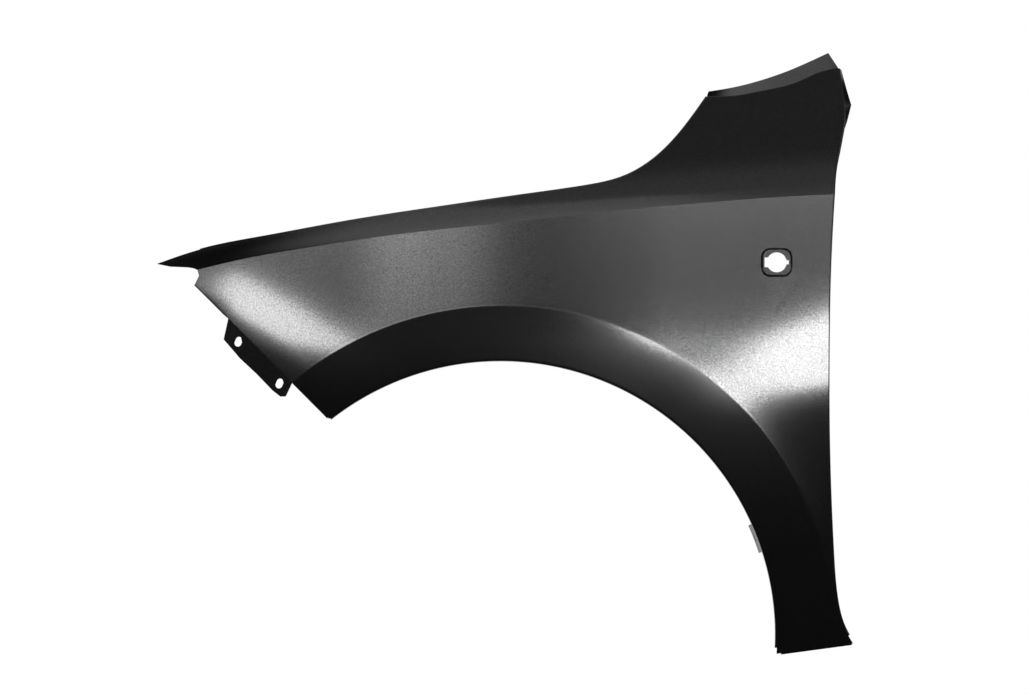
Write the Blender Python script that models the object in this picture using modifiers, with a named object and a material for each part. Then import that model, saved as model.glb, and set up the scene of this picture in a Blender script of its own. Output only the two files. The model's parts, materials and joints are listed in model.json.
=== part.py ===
# Left front fender of a compact car, pressed in one piece from thin sheet steel.
# +X runs to the rear of the car, +Z up, and the outer skin faces -Y.
# Every outline below is drawn in side view, and the depth across the car follows from skin_depth().

import math

import bmesh
import bpy
import numpy as np
from mathutils import Matrix, Vector

# Sheet
SHEET = 0.0008
FOLD_RADIUS = 0.0022

# The wheel opening, and how far the panel reaches past it to the tip, rear edge, peak and foot
ARCH_RADIUS = 0.3435
NOSE_REACH = 0.0860
LEG_REACH = 0.0970
CROWN_RISE = 0.3860
ARCH_ABOVE_FOOT = 0.0245
ARCH_FROM_TIP = NOSE_REACH + ARCH_RADIUS
PANEL_LENGTH = ARCH_FROM_TIP + ARCH_RADIUS + LEG_REACH
PANEL_HEIGHT = ARCH_ABOVE_FOOT + ARCH_RADIUS + CROWN_RISE
ARCH_FRONT_ANGLE = math.radians(128.3)
ARCH_CORNER_ANGLE = math.radians(54)

# Depth of the skin across the car
SWEEP_DEPTH = 0.185
SWEEP_START = 0.230
SWEEP_POWER = 3.0
WIDEST_HEIGHT = 0.368
UPPER_CROWN_DEPTH = 0.004
TUCK_SLOPE = 0.283
TUCK_REACH = 0.300
FRONT_HAUNCH_DEPTH = 0.0096
FRONT_HAUNCH_WIDTH = 0.034
FRONT_HAUNCH_FADE = 0.450
REAR_HAUNCH_DEPTH = 0.0154
REAR_HAUNCH_WIDTH = 0.050
REAR_HAUNCH_START = 0.184
REAR_HAUNCH_FADE = 0.258
FLARE_DEPTH = 0.0086
FLARE_WIDTH = 0.045
FLARE_FULL_ANGLE = math.radians(14)
FLARE_END_ANGLE = math.radians(83)
LIP_BAND_FRONT = 0.0670
LIP_BAND_REAR = 0.0740
LIP_LEAN_FRONT = 0.193
LIP_LEAN_REAR = -0.030
LIP_TURN_ANGLE = math.radians(56)
FRONT_ROLL_WIDTH = 0.030
FRONT_ROLL_DEPTH = 0.001
FRONT_ROLL_FADE = 0.030
SHOULDER_STEP = 0.020
SHOULDER_REACH = 0.018
SHOULDER_SLOPE = 0.42

# Flanges, measured from the fold
ARCH_FLANGE = 0.013
ARCH_FLANGE_LEAN = math.radians(2)
LINER_TAB = 0.018
LINER_TAB_ANGLES = (math.radians(26), math.radians(15.5))
LINER_TAB_LEAN = math.radians(13)
DOOR_FLANGE = 0.011
FOOT_FLANGE = 0.020
LAMP_FLANGE = 0.010
CLIMB_FLANGE = 0.014
DROP_LEAN = math.radians(7)
SHELF_DROP = 0.018
SHELF_WIDTH = 0.012
SHELF_TAB = 0.017
SHELF_TAB_SHARES = (0.04, 0.32, 0.60, 0.86)
DOOR_TAB = 0.017
DOOR_TAB_SHARES = (0.22, 0.62)
BUMPER_TAB_REACH = 0.0255
BUMPER_TAB_SLOPE = 0.55
EAR_DEPTH = 0.009
PILLAR_FLANGE_DEPTH = 0.020

# Round and slotted holes
BOLT_HOLE = 0.0075
SLOT_WIDTH = 0.0085
SLOT_LENGTH = 0.0125
SLOT_TURN = math.radians(113)
LINER_HOLE = 0.0050
LINER_HOLE_ANGLES = tuple(math.radians(angle) for angle in (117, 95, 72, 50, 34, 6))
CUT_OVERRUN = 0.004

# Side repeater pocket and its keyed hole
POCKET_LENGTH = 0.0375
POCKET_HEIGHT = 0.0350
POCKET_CORNER = 0.0080
POCKET_DEPTH = 0.0028
POCKET_WALL = 0.0012
POCKET_MARGIN = 0.005
KEY_HOLE = 0.0254
KEY_FRONT_REACH = 0.0156
KEY_FRONT_HEIGHT = 0.0125
KEY_REAR_REACH = 0.0150
KEY_REAR_HEIGHT = 0.0050

# Side-view outlines: shares of the panel's length from the tip, and of its height from the foot
SHOULDER_SHARES = (
    (0.0582, 0.6396), (0.1178, 0.6560), (0.2198, 0.6769), (0.3348, 0.6968), (0.4497, 0.7117),
    (0.5647, 0.7258), (0.6796, 0.7399), (0.7945, 0.7514), (0.9095, 0.7614), (0.9718, 0.7647),
)
DOOR_SHARES = (
    (0.9718, 0.7647), (0.9684, 0.6968), (0.9648, 0.5725), (0.9640, 0.4234), (0.9662, 0.2908),
    (0.9711, 0.1665), (0.9770, 0.0920), (0.9868, 0.0489), (1.0003, 0.0200),
)
BONNET_SHARES = (
    (0.0000, 0.6495), (0.0618, 0.6734), (0.1480, 0.6940), (0.2773, 0.7213), (0.4066, 0.7442),
    (0.5359, 0.7657), (0.6225, 0.7804), (0.6658, 0.7924), (0.7095, 0.8196), (0.7528, 0.8680),
    (0.7902, 0.9263),
)
SHELF_SHARES = ((0.0618, 0.6703), (0.6221, 0.7796))
PILLAR_SHARES = (
    (0.7902, 0.9263), (0.8319, 0.9275), (0.8649, 0.9345), (0.8940, 0.9412), (0.9231, 0.9515),
    (0.9497, 0.9655), (0.9791, 0.9735),
)
PILLAR_EDGE_SHARES = (
    (0.7925, 0.9345), (0.8391, 0.9450), (0.8807, 0.9592), (0.9239, 0.9785), (0.9639, 1.0),
)
REAR_SHARES = (
    (0.9718, 0.7647), (0.9750, 0.8111), (0.9796, 0.8376), (0.9840, 0.8641), (0.9872, 0.8873),
    (0.9848, 0.9287), (0.9791, 0.9735),
)
TIP_SHARES = ((0.0582, 0.6396), (0.0530, 0.6424), (0.0445, 0.6440), (0.0187, 0.6452), (0.0000, 0.6495))
LAMP_CORNER_SHARE = (0.0545, 0.6156)
NOTCH_SHARE = (0.0603, 0.6296)
EAR_SHARES = ((0.9900, 0.8860), (0.9980, 0.9130), (0.9900, 0.9400), (0.9820, 0.9700))
POCKET_SHARE = (0.8906, 0.6520)

# Haunches: the lines along which the body side steps inboard, in front of and behind the wheel
FRONT_HAUNCH_SHARES = ((0.0339, 0.6328), (0.3787, 0.4507))
REAR_HAUNCH_SHARES = ((0.7236, 0.4216), (0.9764, 0.4962))

# The bumper tab: shares of its root's length from the wheel arch, and of its reach from the root
TAB_EDGE_SHARES = ((-0.06, 0.73), (-0.02, 0.92), (0.09, 0.98), (0.34, 0.96), (0.59, 1), (0.87, 0.91))
TAB_SLOT_SHARES = ((0.736, 0.472), (0.089, 0.493))

# Sections: columns run from the wheel arch to the upper edges, rows run along the panel
BONNET_COLUMNS = 28
CROWN_COLUMNS = 40
ALL_COLUMNS = 60
CORNER_COLUMN_SHARE = 0.77
TIP_EASE = 1.15
FOOT_EASE = 1.30
BAND_ROW_SHARES = (0, 0.10, 0.38, 0.69, 1)
LAMP_CORNER_ON_ROWS = 0.87
BODY_ROW_SHARES = (0.07, 0.17, 0.29, 0.43, 0.57, 0.68, 0.78, LAMP_CORNER_ON_ROWS, 0.94, 1)
CROWN_ROW_SHARES = (0, 0.13, 0.28, 0.43, 0.57, 0.70, 0.85, 1)
CREASE_ROW = len(BAND_ROW_SHARES) - 1
TAB_ROW = CREASE_ROW + len(TAB_EDGE_SHARES) - 1
LAMP_CORNER_ROW = len(BAND_ROW_SHARES) + BODY_ROW_SHARES.index(LAMP_CORNER_ON_ROWS)
CREASE_START_SHARE = 0.4
CREASE_LIMIT_SHARE = 0.58
CREASE_ROUNDS = 6
FRONT_BLEND_COLUMNS = 7
FOLD_STEPS = 3
POCKET_STEPS = 8
TAB_COLUMNS = 2
HOLE_SIDES = 20

# Finish
SHARP_ANGLE = math.radians(25)
PRIMER_COLOUR = (0.012, 0.012, 0.013, 1)
PRIMER_ROUGHNESS = 0.35

INBOARD = Vector((0, 1, 0))


def spline(knots, values):
    """A natural cubic through the values, carried on straight past both ends."""
    x = np.asarray(knots, float)
    y = np.asarray(values, float)
    gap = np.diff(x)
    rise = np.diff(y) / gap
    system = np.eye(len(x))
    right = np.zeros(len(x))
    for k in range(1, len(x) - 1):
        system[k, k - 1:k + 2] = gap[k - 1], 2 * (gap[k - 1] + gap[k]), gap[k]
        right[k] = 6 * (rise[k] - rise[k - 1])
    bend = np.linalg.solve(system, right)

    def read(t):
        inside = min(max(t, x[0]), x[-1])
        k = min(int(np.searchsorted(x, inside, side="right")) - 1, len(x) - 2)
        a, b = x[k + 1] - inside, inside - x[k]
        value = (bend[k] * a ** 3 + bend[k + 1] * b ** 3) / (6 * gap[k])
        value += (y[k] / gap[k] - bend[k] * gap[k] / 6) * a
        value += (y[k + 1] / gap[k] - bend[k + 1] * gap[k] / 6) * b
        slope = (bend[k + 1] * b ** 2 - bend[k] * a ** 2) / (2 * gap[k])
        slope += rise[k] - (bend[k + 1] - bend[k]) * gap[k] / 6
        return value + slope * (t - inside)

    return read


def place(shares):
    """A side-view point, seen from the wheel opening's centre."""
    return np.array([
        shares[0] * PANEL_LENGTH - ARCH_FROM_TIP,
        shares[1] * PANEL_HEIGHT - ARCH_ABOVE_FOOT,
    ])


def chord_shares(points):
    lengths = [float(np.linalg.norm(b - a)) for a, b in zip(points, points[1:])]
    return np.concatenate([[0], np.cumsum(lengths)]) / sum(lengths)


def outline(table):
    """The smooth side-view curve through a table of shares, read from 0 to 1 along it."""
    points = [place(row) for row in table]
    knots = chord_shares(points)
    across = spline(knots, [p[0] for p in points])
    up = spline(knots, [p[1] for p in points])
    return lambda share: np.array([across(share), up(share)])


def polyline(points, share):
    """A point on the straight runs between points, at a share of their length."""
    knots = chord_shares(points)
    return np.array([np.interp(share, knots, [p[axis] for p in points]) for axis in (0, 1)])


SHOULDER_POINTS = [place(row) for row in SHOULDER_SHARES]
shoulder_height = spline(*zip(*SHOULDER_POINTS))


def smooth(value):
    held = min(max(value, 0), 1)
    return held * held * (3 - 2 * held)


def crease_radius(angle):
    turn = (ARCH_FRONT_ANGLE - angle) / (ARCH_FRONT_ANGLE - FLARE_FULL_ANGLE)
    return ARCH_RADIUS + LIP_BAND_FRONT + (LIP_BAND_REAR - LIP_BAND_FRONT) * turn


def front_roll(x, z):
    """The extra depth where the skin rolls in towards its edge between lamp and wheel arch."""
    top = place(LAMP_CORNER_SHARE)
    along = on_circle(ARCH_FRONT_ANGLE, ARCH_RADIUS + FOLD_RADIUS) - top
    along /= np.linalg.norm(along)
    inside = along[0] * (z - top[1]) - along[1] * (x - top[0])
    rolled = max(1 - max(inside, 0) / FRONT_ROLL_WIDTH, 0)
    return FRONT_ROLL_DEPTH * rolled ** 2 * smooth((top[1] - z) / FRONT_ROLL_FADE)


def haunch_line(table):
    """The straight side-view line of a haunch: its height at x."""
    front, rear = (place(share) for share in table)
    slope = (rear[1] - front[1]) / (rear[0] - front[0])
    return lambda x: front[1] + slope * (x - front[0])


front_haunch = haunch_line(FRONT_HAUNCH_SHARES)
rear_haunch = haunch_line(REAR_HAUNCH_SHARES)


def haunches(x, z):
    """How far the side lies inboard above its two haunches, which fade out over the wheel."""
    front = (1 + math.tanh((z - front_haunch(x)) / FRONT_HAUNCH_WIDTH)) / 2
    rear = (1 + math.tanh((z - rear_haunch(x)) / REAR_HAUNCH_WIDTH)) / 2
    depth = FRONT_HAUNCH_DEPTH * front * smooth(-x / FRONT_HAUNCH_FADE)
    return depth + REAR_HAUNCH_DEPTH * rear * smooth((x - REAR_HAUNCH_START) / REAR_HAUNCH_FADE)


def arch_relief(x, z):
    """How far the flare at the wheel opening stands outboard, and how its lip band leans."""
    angle = math.atan2(z, x)
    past = math.hypot(x, z) - crease_radius(angle)
    flare = FLARE_DEPTH * (1 - smooth((angle - FLARE_FULL_ANGLE) / (FLARE_END_ANGLE - FLARE_FULL_ANGLE)))
    if past > 0:
        return flare * math.exp(-past / FLARE_WIDTH)
    turned = smooth((angle - LIP_TURN_ANGLE) / (ARCH_FRONT_ANGLE - LIP_TURN_ANGLE))
    return flare + past * (LIP_LEAN_FRONT * turned + LIP_LEAN_REAR)


def body_depth(x, z):
    """How far inboard the body side lies: plan sweep, side crown, haunches and wheel flare."""
    reach = max(SWEEP_START - x, 0) / (SWEEP_START + ARCH_FROM_TIP)
    depth = SWEEP_DEPTH * reach ** SWEEP_POWER + front_roll(x, z) + haunches(x, z)
    rise = z - WIDEST_HEIGHT
    if rise > 0:
        depth += UPPER_CROWN_DEPTH * (rise / WIDEST_HEIGHT) ** 2
    else:
        depth += TUCK_SLOPE * (math.hypot(rise, TUCK_REACH) - TUCK_REACH)
    return depth - arch_relief(x, z)


def skin_depth(x, z):
    """How far inboard the outer skin lies, also above the shoulder crease."""
    above = z - shoulder_height(x)
    if above <= 0:
        return body_depth(x, z)
    lean = SHOULDER_STEP * (1 - math.exp(-above / SHOULDER_REACH)) + SHOULDER_SLOPE * above
    return body_depth(x, z - above) + lean


def skin_point(side):
    return Vector((side[0], skin_depth(side[0], side[1]), side[1]))


def on_circle(angle, radius):
    return np.array([math.cos(angle), math.sin(angle)]) * radius


def share_at_crease(start, end):
    """Where the run from the arch edge to an upper edge crosses the arch crease."""
    share = CREASE_START_SHARE
    for _ in range(CREASE_ROUNDS):
        side = start + share * (end - start)
        along = (end - start) / np.linalg.norm(end - start)
        radial = side / np.linalg.norm(side)
        miss = crease_radius(math.atan2(side[1], side[0])) - np.linalg.norm(side)
        share += miss / (radial @ along) / np.linalg.norm(end - start)
    return share


def section_columns():
    """The side-view runs from the arch edge up: start and end of each, and where it is creased."""
    foot_angle = -math.asin((ARCH_ABOVE_FOOT - FOLD_RADIUS) / (ARCH_RADIUS + FOLD_RADIUS))
    angle_at = spline(
        (0, CROWN_COLUMNS, ALL_COLUMNS), (ARCH_FRONT_ANGLE, ARCH_CORNER_ANGLE, foot_angle))
    share_at = spline((0, BONNET_COLUMNS, CROWN_COLUMNS), (0, CORNER_COLUMN_SHARE, 1))
    door = outline(DOOR_SHARES)
    first, last = SHOULDER_POINTS[0][0], SHOULDER_POINTS[-1][0]
    columns = []
    for i in range(ALL_COLUMNS + 1):
        if i <= CROWN_COLUMNS:
            place_on_row = CROWN_COLUMNS * (i / CROWN_COLUMNS) ** TIP_EASE
            x = first + (last - first) * share_at(place_on_row)
            end = np.array([x, shoulder_height(x)])
        else:
            left = (ALL_COLUMNS - i) / (ALL_COLUMNS - CROWN_COLUMNS)
            place_on_row = ALL_COLUMNS - (ALL_COLUMNS - CROWN_COLUMNS) * left ** FOOT_EASE
            end = door(1 - left ** FOOT_EASE)
        columns.append((on_circle(angle_at(place_on_row), ARCH_RADIUS + FOLD_RADIUS), end))
    return columns


def body_rows():
    """Side-view points of the skin below the shoulder crease, row by row from the arch edge."""
    columns = section_columns()
    limits = [min(share_at_crease(a, b), CREASE_LIMIT_SHARE) for a, b in columns]
    corner = place(LAMP_CORNER_SHARE)
    notch = place(NOTCH_SHARE)
    start, end = columns[0]
    front_crease = start + share_at_crease(start, corner) * (corner - start)
    row_shares = BAND_ROW_SHARES + BODY_ROW_SHARES
    corner_share = row_shares[LAMP_CORNER_ROW]
    rows = []
    for share in row_shares:
        band = len(rows) <= CREASE_ROW
        row = []
        for limit, (a, b) in zip(limits, columns):
            crease = a + limit * (b - a)
            row.append(a + share * (crease - a) if band else crease + share * (b - crease))
        if band:
            edge = start + share * (front_crease - start)
        elif share <= corner_share:
            edge = front_crease + share / corner_share * (corner - front_crease)
        else:
            edge = notch if share < 1 else end
        shift = edge - row[0]
        for i in range(FRONT_BLEND_COLUMNS):
            row[i] = row[i] + shift * (1 - i / FRONT_BLEND_COLUMNS) ** 2
        if band and share == 1:
            for i in range(FRONT_BLEND_COLUMNS):
                angle = math.atan2(row[i][1], row[i][0])
                row[i] = on_circle(angle, crease_radius(angle))
        rows.append(row)
    return rows


def crown_rows(shoulder):
    """Side-view points of the skin from the shoulder crease to the bonnet and pillar edges."""
    bonnet = outline(BONNET_SHARES)
    pillar = outline(PILLAR_SHARES)
    rear = outline(REAR_SHARES)
    top = []
    for i in range(CROWN_COLUMNS + 1):
        if i <= BONNET_COLUMNS:
            top.append(bonnet((i / BONNET_COLUMNS) ** TIP_EASE))
        else:
            top.append(pillar((i - BONNET_COLUMNS) / (CROWN_COLUMNS - BONNET_COLUMNS)))
    tip = [place(row) for row in TIP_SHARES]
    rows = []
    for share in CROWN_ROW_SHARES:
        row = [a + share * (b - a) for a, b in zip(shoulder, top)]
        front_shift = polyline(tip, share) - row[0]
        rear_shift = rear(share) - row[-1]
        for i in range(FRONT_BLEND_COLUMNS):
            fade = (1 - i / FRONT_BLEND_COLUMNS) ** 2
            row[i] = row[i] + front_shift * fade
            row[-1 - i] = row[-1 - i] + rear_shift * fade
        rows.append(row)
    return rows


def add_rows(bm, rows):
    return [[bm.verts.new(skin_point(side)) for side in row] for row in rows]


def join_rows(bm, rows, skip=()):
    for j in range(len(rows) - 1):
        for i in range(len(rows[j]) - 1):
            corners = rows[j][i], rows[j][i + 1], rows[j + 1][i + 1], rows[j + 1][i]
            if (i, j) not in skip:
                bm.faces.new(corners)


def headings(edge, behind):
    """The way the sheet runs off each point of an edge, square to the edge itself."""
    ways = []
    for k, vert in enumerate(edge):
        before, after = edge[max(k - 1, 0)], edge[min(k + 1, len(edge) - 1)]
        along = (after.co - before.co).normalized()
        way = vert.co - behind[k].co
        ways.append((way - way.dot(along) * along).normalized())
    return ways


def fold(bm, edge, ways, targets, runs, slits=()):
    """Bends the sheet past an edge, over the fold radius, and carries it straight on, open at slits."""
    rows = [[] for _ in range(FOLD_STEPS + 1)]
    for vert, way, target, run in zip(edge, ways, targets, runs):
        across = (target - target.dot(way) * way).normalized()
        angle = way.angle(target)
        for step in range(1, FOLD_STEPS + 1):
            turn = angle * step / FOLD_STEPS
            spot = vert.co + FOLD_RADIUS * (math.sin(turn) * way + (1 - math.cos(turn)) * across)
            rows[step - 1].append(bm.verts.new(spot))
        rows[-1].append(bm.verts.new(rows[-2][-1].co + target * run))
    join_rows(bm, [edge] + rows, {(slit, FOLD_STEPS) for slit in slits})
    return rows


def straight_flange(bm, edge, behind, target, run):
    return fold(bm, edge, headings(edge, behind), [target] * len(edge), [run] * len(edge))


def widen(bm, edge, targets, run):
    """Carries a stretch of a flange's free edge further, as a tab."""
    tab = [bm.verts.new(vert.co + target * run) for vert, target in zip(edge, targets)]
    join_rows(bm, [edge, tab])
    return tab


def middle(*rows):
    """The middle of a tab, from the rows of points on both of its long sides."""
    points = [vert.co for row in rows for vert in row]
    return sum(points, Vector()) / len(points)


def to_points(edge, sides, depths):
    """Directions and lengths from an edge to side-view points at given depths."""
    ways = [Vector((side[0], depth, side[1])) - vert.co for vert, side, depth in zip(edge, sides, depths)]
    return [way.normalized() for way in ways], [way.length for way in ways]


def arch_flange(bm, body, spots):
    """The return round the wheel opening, with the liner's screw holes and its deeper tab."""
    columns = range(1, ALL_COLUMNS)
    edge = [body[0][i] for i in columns]
    angles = [math.atan2(vert.co.z, vert.co.x) for vert in edge]

    def leaning(angle, lean):
        return math.cos(lean) * INBOARD - math.sin(lean) * Vector((math.cos(angle), 0, math.sin(angle)))

    targets = [leaning(angle, ARCH_FLANGE_LEAN) for angle in angles]
    rows = fold(bm, edge, headings(edge, [body[1][i] for i in columns]), targets, [ARCH_FLANGE] * len(edge))
    chosen = [k for k, angle in enumerate(angles) if LINER_TAB_ANGLES[1] <= angle <= LINER_TAB_ANGLES[0]]
    tab_targets = [leaning(angles[k], LINER_TAB_LEAN) for k in chosen]
    tab = widen(bm, [rows[-1][k] for k in chosen], tab_targets, LINER_TAB)
    spots["liner"] = [middle([rows[-1][k] for k in chosen], tab)]
    for wanted in LINER_HOLE_ANGLES:
        k = min(range(len(angles) - 1), key=lambda n: abs(angles[n] - wanted))
        spots["liner"].append(middle(rows[-1][k:k + 2], rows[-2][k:k + 2]))


def rear_flanges(bm, body, crown, spots):
    """The return along the front door's gap, its bolt tabs, and the small wing under the pillar."""
    columns = range(ALL_COLUMNS - 1, CROWN_COLUMNS, -1)
    edge = [body[-1][i] for i in columns] + [row[-1] for row in crown]
    behind = [body[-2][i] for i in columns] + [row[-2] for row in crown]
    wing = edge[-len(EAR_SHARES):]
    depths = [vert.co.y + EAR_DEPTH for vert in wing]
    wing_targets, reaches = to_points(wing, [place(share) for share in EAR_SHARES], depths)
    straight = len(edge) - len(wing)
    targets = [INBOARD] * straight + wing_targets
    runs = [DOOR_FLANGE] * straight + [max(reach - FOLD_RADIUS, FOLD_RADIUS) for reach in reaches]
    rows = fold(bm, edge, headings(edge, behind), targets, runs)
    spots["door"] = []
    for share in DOOR_TAB_SHARES:
        first = round(share * straight)
        chosen = rows[-1][first:first + TAB_COLUMNS + 1]
        tab = widen(bm, chosen, [INBOARD] * len(chosen), DOOR_TAB)
        spots["door"].append(middle(chosen, tab))


def pillar_flange(bm, crown):
    """The strip that leans back from the fold under the windscreen pillar."""
    columns = range(BONNET_COLUMNS, CROWN_COLUMNS + 1)
    edge = [crown[-1][i] for i in columns]
    ways = headings(edge, [crown[-2][i] for i in columns])
    top = outline(PILLAR_EDGE_SHARES)
    shares = [k / (len(edge) - 1) for k in range(len(edge))]
    depths = [vert.co.y + PILLAR_FLANGE_DEPTH for vert in edge]
    targets, reaches = to_points(edge, [top(share) for share in shares], depths)
    fold(bm, edge, ways, targets, [reach - FOLD_RADIUS for reach in reaches])


def shelf_line():
    """The straight side-view line that the bonnet-side shelf lies on: height at x, and slope."""
    front, rear = (place(share) for share in SHELF_SHARES)
    slope = (rear[1] - front[1]) / (rear[0] - front[0])
    return lambda x: front[1] - SHELF_DROP + slope * (x - front[0]), slope


def bonnet_flange(bm, crown, spots):
    """The drop behind the bonnet's gap, and the flat shelf that bolts down on the wing rail."""
    height, _ = shelf_line()
    down = Vector((0, math.sin(DROP_LEAN), -math.cos(DROP_LEAN)))
    first, last = (place(share)[0] for share in SHELF_SHARES)
    columns = [i for i in range(BONNET_COLUMNS) if first <= crown[-1][i].co.x <= last]
    edge = [crown[-1][i] for i in columns]
    ways = headings(edge, [crown[-2][i] for i in columns])
    runs = [vert.co.z - height(vert.co.x) - FOLD_RADIUS for vert in edge]
    drop = fold(bm, edge, ways, [down] * len(edge), runs)[-1]
    rows = fold(bm, drop, [down] * len(edge), [INBOARD] * len(edge), [SHELF_WIDTH] * len(edge))
    for vert in rows[-2] + rows[-1]:
        vert.co.z = height(vert.co.x)
    spots["shelf"] = []
    for share in SHELF_TAB_SHARES:
        start = round(share * len(edge))
        chosen = rows[-1][start:start + TAB_COLUMNS + 1]
        tab = widen(bm, chosen, [INBOARD] * len(chosen), SHELF_TAB)
        spots["shelf"].append(middle(chosen, tab))
    seat = round(SHELF_TAB_SHARES[1] * len(edge))
    spots["datum"] = middle(rows[-1][seat:seat + 2], rows[-2][seat:seat + 2])
    climb = range(columns[-1] + 2, BONNET_COLUMNS)
    edge = [crown[-1][i] for i in climb]
    straight_flange(bm, edge, [crown[-2][i] for i in climb], INBOARD, CLIMB_FLANGE)


def front_flanges(bm, body, spots):
    """The return beside lamp and bumper, and the bumper's tab, which runs on from it."""
    rows = body[1:LAMP_CORNER_ROW + 1]
    edge = [row[0] for row in rows]
    ways = headings(edge, [row[1] for row in rows])
    tab = range(CREASE_ROW - 1, TAB_ROW)
    low, high = edge[tab[0]].co, edge[tab[-1]].co
    root = Vector((high.x - low.x, 0, high.z - low.z))
    out = Vector((-root.z, 0, root.x)).normalized()

    def tab_point(share):
        side = low + share[0] * root + share[1] * BUMPER_TAB_REACH * out
        depth = low.y + share[0] * (high.y - low.y) + share[1] * BUMPER_TAB_REACH * BUMPER_TAB_SLOPE
        return Vector((side.x, depth, side.z))

    corners = [tab_point(share) for share in TAB_EDGE_SHARES]
    targets = [INBOARD] * len(edge)
    runs = [LAMP_FLANGE] * len(edge)
    for k, corner in zip(tab, corners):
        targets[k] = (corner - edge[k].co).normalized()
        runs[k] = (corner - edge[k].co).length - FOLD_RADIUS
    free = fold(bm, edge, ways, targets, runs, (tab[0] - 1, tab[-1]))[-1]
    for k, corner in zip(tab, corners):
        free[k].co = corner
    spots["tab"] = [tab_point(share) for share in TAB_SLOT_SHARES]


def rounded_rectangle(length, height, corner):
    """Side-view offsets round a rectangle with round corners."""
    points = []
    for quarter, (rear, up) in enumerate(((1, 1), (-1, 1), (-1, -1), (1, -1))):
        for step in range(POCKET_STEPS):
            turn = math.pi / 2 * (quarter + step / (POCKET_STEPS - 1))
            points.append((
                rear * (length / 2 - corner) + corner * math.cos(turn),
                up * (height / 2 - corner) + corner * math.sin(turn),
            ))
    return points


def pocket_window(body):
    """The block of columns and rows that the repeater pocket takes out of the skin."""
    centre = place(POCKET_SHARE)
    reach = max(POCKET_LENGTH, POCKET_HEIGHT) / 2 + POCKET_MARGIN
    hit = [
        (i, j) for j, row in enumerate(body) for i, vert in enumerate(row)
        if max(abs(vert.co.x - centre[0]), abs(vert.co.z - centre[1])) < reach
    ]
    columns = [i for i, _ in hit]
    rows = [j for _, j in hit]
    return min(columns) - 1, max(columns) + 1, min(rows) - 1, max(rows) + 1


def add_pocket(bm, body, window, spots):
    """The pressed pocket: its rim on the skin, a steep wall and a flat floor."""
    left, right, low, high = window
    loop = [body[low][i] for i in range(left, right)] + [body[j][right] for j in range(low, high)]
    loop += [body[high][i] for i in range(right, left, -1)] + [body[j][left] for j in range(high, low, -1)]
    x, z = place(POCKET_SHARE)
    depth = skin_depth(x, z)
    lean_x = (skin_depth(x + SHEET, z) - depth) / SHEET
    lean_z = (skin_depth(x, z + SHEET) - depth) / SHEET
    rim = [
        bm.verts.new(skin_point((x + dx, z + dz)))
        for dx, dz in rounded_rectangle(POCKET_LENGTH, POCKET_HEIGHT, POCKET_CORNER)
    ]
    inner = POCKET_LENGTH - 2 * POCKET_WALL, POCKET_HEIGHT - 2 * POCKET_WALL, POCKET_CORNER - POCKET_WALL
    floor = [
        bm.verts.new((x + dx, depth + lean_x * dx + lean_z * dz + POCKET_DEPTH, z + dz))
        for dx, dz in rounded_rectangle(*inner)
    ]
    outer_edges = [bm.edges.get((a, b)) for a, b in zip(loop, loop[1:] + loop[:1])]
    rim_edges = [bm.edges.new((a, b)) for a, b in zip(rim, rim[1:] + rim[:1])]
    floor_edges = [bm.edges.new((a, b)) for a, b in zip(floor, floor[1:] + floor[:1])]
    bmesh.ops.bridge_loops(bm, edges=outer_edges + rim_edges)
    bmesh.ops.bridge_loops(bm, edges=rim_edges + floor_edges)
    bm.faces.new(floor)
    spots["key"] = [Vector((x, depth + POCKET_DEPTH, z))]


def build_sheet():
    """The pressing's outer surface, and the places of its holes."""
    bm = bmesh.new()
    spots = {}
    side_rows = body_rows()
    body = add_rows(bm, side_rows)
    crown_side = crown_rows(side_rows[-1][:CROWN_COLUMNS + 1])
    crown = [body[-1][:CROWN_COLUMNS + 1]] + add_rows(bm, crown_side[1:])
    window = pocket_window(body)
    hollow = {(i, j) for i in range(window[0], window[1]) for j in range(window[2], window[3])}
    join_rows(bm, body, hollow)
    join_rows(bm, crown)
    add_pocket(bm, body, window, spots)
    arch_flange(bm, body, spots)
    rear_flanges(bm, body, crown, spots)
    pillar_flange(bm, crown)
    bonnet_flange(bm, crown, spots)
    front_flanges(bm, body, spots)
    foot = body[1:-1]
    rows = straight_flange(bm, [row[-1] for row in foot], [row[-2] for row in foot], INBOARD, FOOT_FLANGE)
    half = len(foot) // 2
    spots["foot"] = [middle(rows[-1][half:half + 2], rows[-2][half:half + 2])]

    loose = [vert for vert in bm.verts if not vert.link_faces]
    bmesh.ops.delete(bm, geom=loose, context="VERTS")
    bmesh.ops.recalc_face_normals(bm, faces=bm.faces)
    if sum(face.normal.y * face.calc_area() for face in bm.faces) > 0:
        bmesh.ops.reverse_faces(bm, faces=bm.faces)
    return bm, spots


def add_cutter(group, name, spot, axis, width, length=0, turn=0):
    """A round cutter along an axis, drawn out into a slot where a length is given."""
    bm = bmesh.new()
    half_step = Matrix.Rotation(math.pi / HOLE_SIDES, 4, "Z")
    bmesh.ops.create_cone(
        bm, cap_ends=True, segments=HOLE_SIDES, radius1=width / 2, radius2=width / 2,
        depth=2 * CUT_OVERRUN, matrix=half_step)
    for vert in bm.verts:
        vert.co.x += math.copysign(max(length - width, 0) / 2, vert.co.x)
    mesh = bpy.data.meshes.new(name)
    bm.to_mesh(mesh)
    bm.free()
    cutter = bpy.data.objects.new(name, mesh)
    cutter.matrix_world = (
        Matrix.Translation(spot) @ axis.to_track_quat("Z", "Y").to_matrix().to_4x4()
        @ Matrix.Rotation(turn, 4, "Z"))
    cutter.hide_render = True
    cutter.display_type = "WIRE"
    group.objects.link(cutter)
    return cutter


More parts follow.
